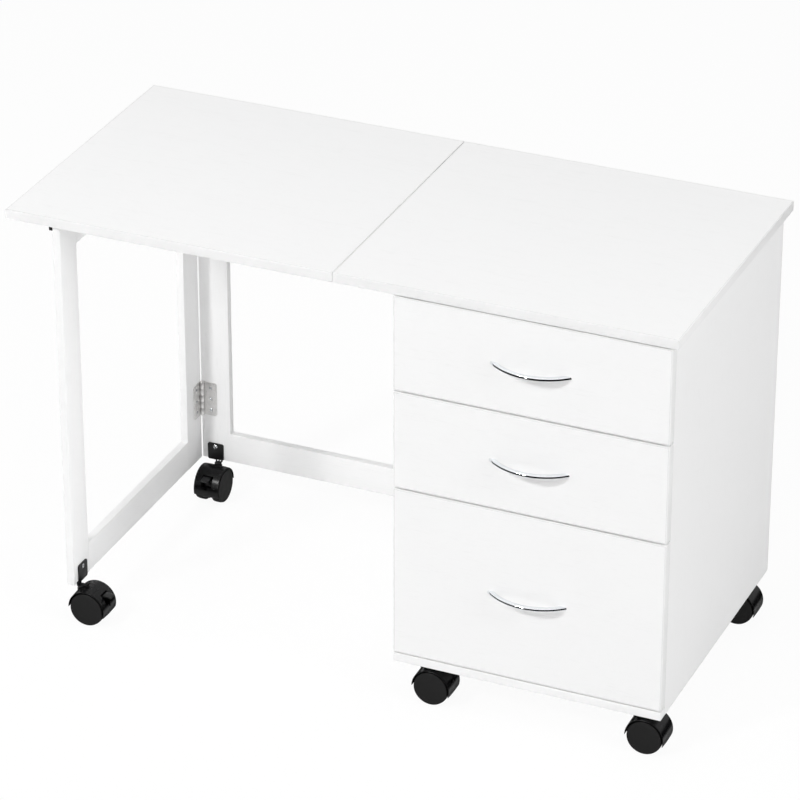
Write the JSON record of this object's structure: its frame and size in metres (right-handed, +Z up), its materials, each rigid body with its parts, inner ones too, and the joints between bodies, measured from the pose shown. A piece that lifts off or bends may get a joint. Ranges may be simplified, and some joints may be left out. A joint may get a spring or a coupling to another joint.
{
  "type": "folding desk",
  "caption": "Desk whose top is half fixed on a drawer cabinet and half a leaf on two hinged slat frames, all on swivel casters.",
  "frame": {"origin": "on the floor, under the middle of the desk's bounding box", "axes": "+X along the length towards the cabinet end, +Y to the back, +Z up"},
  "size_m": [1.12, 0.545, 0.732],
  "materials": {
    "white_laminate": "satin",
    "white_frame": "satin",
    "carcass_board": "satin",
    "runner_steel": "satin",
    "hinge_steel": "satin",
    "screw_steel": "gloss",
    "chrome": "gloss",
    "black_steel": "satin",
    "black_plastic": "satin"
  },
  "bodies": {
    "cabinet": {"fixed_top": "white_laminate", "leaf_hinges_fixed": "hinge_steel", "side_panel_left": "white_laminate", "side_panel_right": "white_laminate", "back_panel": "carcass_board", "bottom_board": "white_laminate", "base_front_board": "white_laminate", "top_rails": "carcass_board", "runner_channels": "runner_steel", "hinge_post": "white_frame", "cabinet_hinge_fixed": "hinge_steel", "post_screws": "screw_steel", "caster_plates": "black_steel"},
    "leaf": {"leaf_top": "white_laminate", "leaf_hinges_moving": "hinge_steel", "leaf_stop": "black_plastic"},
    "back_frame": {"back_left_stile": "white_frame", "back_right_stile": "white_frame", "back_top_rail": "white_frame", "back_bottom_rail": "white_frame", "cabinet_hinge_moving": "hinge_steel", "corner_hinge_back": "hinge_steel", "back_frame_screws": "screw_steel", "bracket_back": "black_steel"},
    "end_frame": {"end_front_stile": "white_frame", "end_rear_stile": "white_frame", "end_top_rail": "white_frame", "end_bottom_rail": "white_frame", "corner_hinge_end": "hinge_steel", "end_frame_screws": "screw_steel", "bracket_end": "black_steel"},
    "drawer_1": {"drawer_front_1": "white_laminate", "drawer_box_1": "carcass_board", "drawer_bottom_1": "carcass_board", "drawer_runners_1": "runner_steel", "handle_1": "chrome"},
    "drawer_2": {"drawer_front_2": "white_laminate", "drawer_box_2": "carcass_board", "drawer_bottom_2": "carcass_board", "drawer_runners_2": "runner_steel", "handle_2": "chrome"},
    "drawer_3": {"drawer_front_3": "white_laminate", "drawer_box_3": "carcass_board", "drawer_bottom_3": "carcass_board", "drawer_runners_3": "runner_steel", "handle_3": "chrome"},
    "caster_end": {"hood_end": "black_plastic"},
    "rollers_end": {"wheels_end": "black_plastic"},
    "lever_end": {"brake_end": "black_plastic"},
    "caster_back": {"hood_back": "black_plastic"},
    "rollers_back": {"wheels_back": "black_plastic"},
    "lever_back": {"brake_back": "black_plastic"},
    "caster_front_left": {"hood_front_left": "black_plastic"},
    "rollers_front_left": {"wheels_front_left": "black_plastic"},
    "caster_front_right": {"hood_front_right": "black_plastic"},
    "rollers_front_right": {"wheels_front_right": "black_plastic"},
    "caster_rear_left": {"hood_rear_left": "black_plastic"},
    "rollers_rear_left": {"wheels_rear_left": "black_plastic"},
    "caster_rear_right": {"hood_rear_right": "black_plastic"},
    "rollers_rear_right": {"wheels_rear_right": "black_plastic"}
  },
  "joints": [
    {"name": "leaf_fold", "type": "hinge", "parent": "cabinet", "child": "leaf", "pos_m": [0, 0, 0.7325], "axis": [0, 1, 0], "range_deg": [0, 180]},
    {"name": "back_frame_fold", "type": "hinge", "parent": "cabinet", "child": "back_frame", "pos_m": [0.0775, 0.2365, 0.388], "axis": [0, 0, 1], "range_deg": [0, 90]},
    {"name": "end_frame_fold", "type": "hinge", "parent": "back_frame", "child": "end_frame", "pos_m": [-0.466, 0.2365, 0.388], "axis": [0, 0, 1], "range_deg": [0, 90]},
    {"name": "drawer_1_slide", "type": "slide", "parent": "cabinet", "child": "drawer_1", "axis": [0, -1, 0], "range_m": [0, 0.3]},
    {"name": "drawer_2_slide", "type": "slide", "parent": "cabinet", "child": "drawer_2", "axis": [0, -1, 0], "range_m": [0, 0.3]},
    {"name": "drawer_3_slide", "type": "slide", "parent": "cabinet", "child": "drawer_3", "axis": [0, -1, 0], "range_m": [0, 0.3]},
    {"name": "swivel_end", "type": "hinge", "parent": "end_frame", "child": "caster_end", "pos_m": [-0.4645, -0.2245, 0.045], "axis": [0, 0, 1], "continuous": true},
    {"name": "roll_end", "type": "hinge", "parent": "caster_end", "child": "rollers_end", "pos_m": [-0.446, -0.2245, 0.0295], "axis": [0, 1, 0], "continuous": true},
    {"name": "brake_end_press", "type": "hinge", "parent": "caster_end", "child": "lever_end", "pos_m": [-0.432, -0.2245, 0.05], "axis": [0, 1, 0], "range_deg": [0, 18]},
    {"name": "swivel_back", "type": "hinge", "parent": "back_frame", "child": "caster_back", "pos_m": [-0.438, 0.235, 0.045], "axis": [0, 0, 1], "continuous": true},
    {"name": "roll_back", "type": "hinge", "parent": "caster_back", "child": "rollers_back", "pos_m": [-0.438, 0.2165, 0.0295], "axis": [1, 0, 0], "continuous": true},
    {"name": "brake_back_press", "type": "hinge", "parent": "caster_back", "child": "lever_back", "pos_m": [-0.438, 0.2025, 0.05], "axis": [1, 0, 0], "range_deg": [0, 18]},
    {"name": "swivel_front_left", "type": "hinge", "parent": "cabinet", "child": "caster_front_left", "pos_m": [0.145, -0.2235, 0.045], "axis": [0, 0, 1], "continuous": true},
    {"name": "roll_front_left", "type": "hinge", "parent": "caster_front_left", "child": "rollers_front_left", "pos_m": [0.1635, -0.2235, 0.0295], "axis": [0, 1, 0], "continuous": true},
    {"name": "swivel_front_right", "type": "hinge", "parent": "cabinet", "child": "caster_front_right", "pos_m": [0.505, -0.2235, 0.045], "axis": [0, 0, 1], "continuous": true},
    {"name": "roll_front_right", "type": "hinge", "parent": "caster_front_right", "child": "rollers_front_right", "pos_m": [0.5235, -0.2235, 0.0295], "axis": [0, 1, 0], "continuous": true},
    {"name": "swivel_rear_left", "type": "hinge", "parent": "cabinet", "child": "caster_rear_left", "pos_m": [0.145, 0.2015, 0.045], "axis": [0, 0, 1], "continuous": true},
    {"name": "roll_rear_left", "type": "hinge", "parent": "caster_rear_left", "child": "rollers_rear_left", "pos_m": [0.1635, 0.2015, 0.0295], "axis": [0, 1, 0], "continuous": true},
    {"name": "swivel_rear_right", "type": "hinge", "parent": "cabinet", "child": "caster_rear_right", "pos_m": [0.505, 0.2015, 0.045], "axis": [0, 0, 1], "continuous": true},
    {"name": "roll_rear_right", "type": "hinge", "parent": "caster_rear_right", "child": "rollers_rear_right", "pos_m": [0.5235, 0.2015, 0.0295], "axis": [0, 1, 0], "continuous": true}
  ]
}
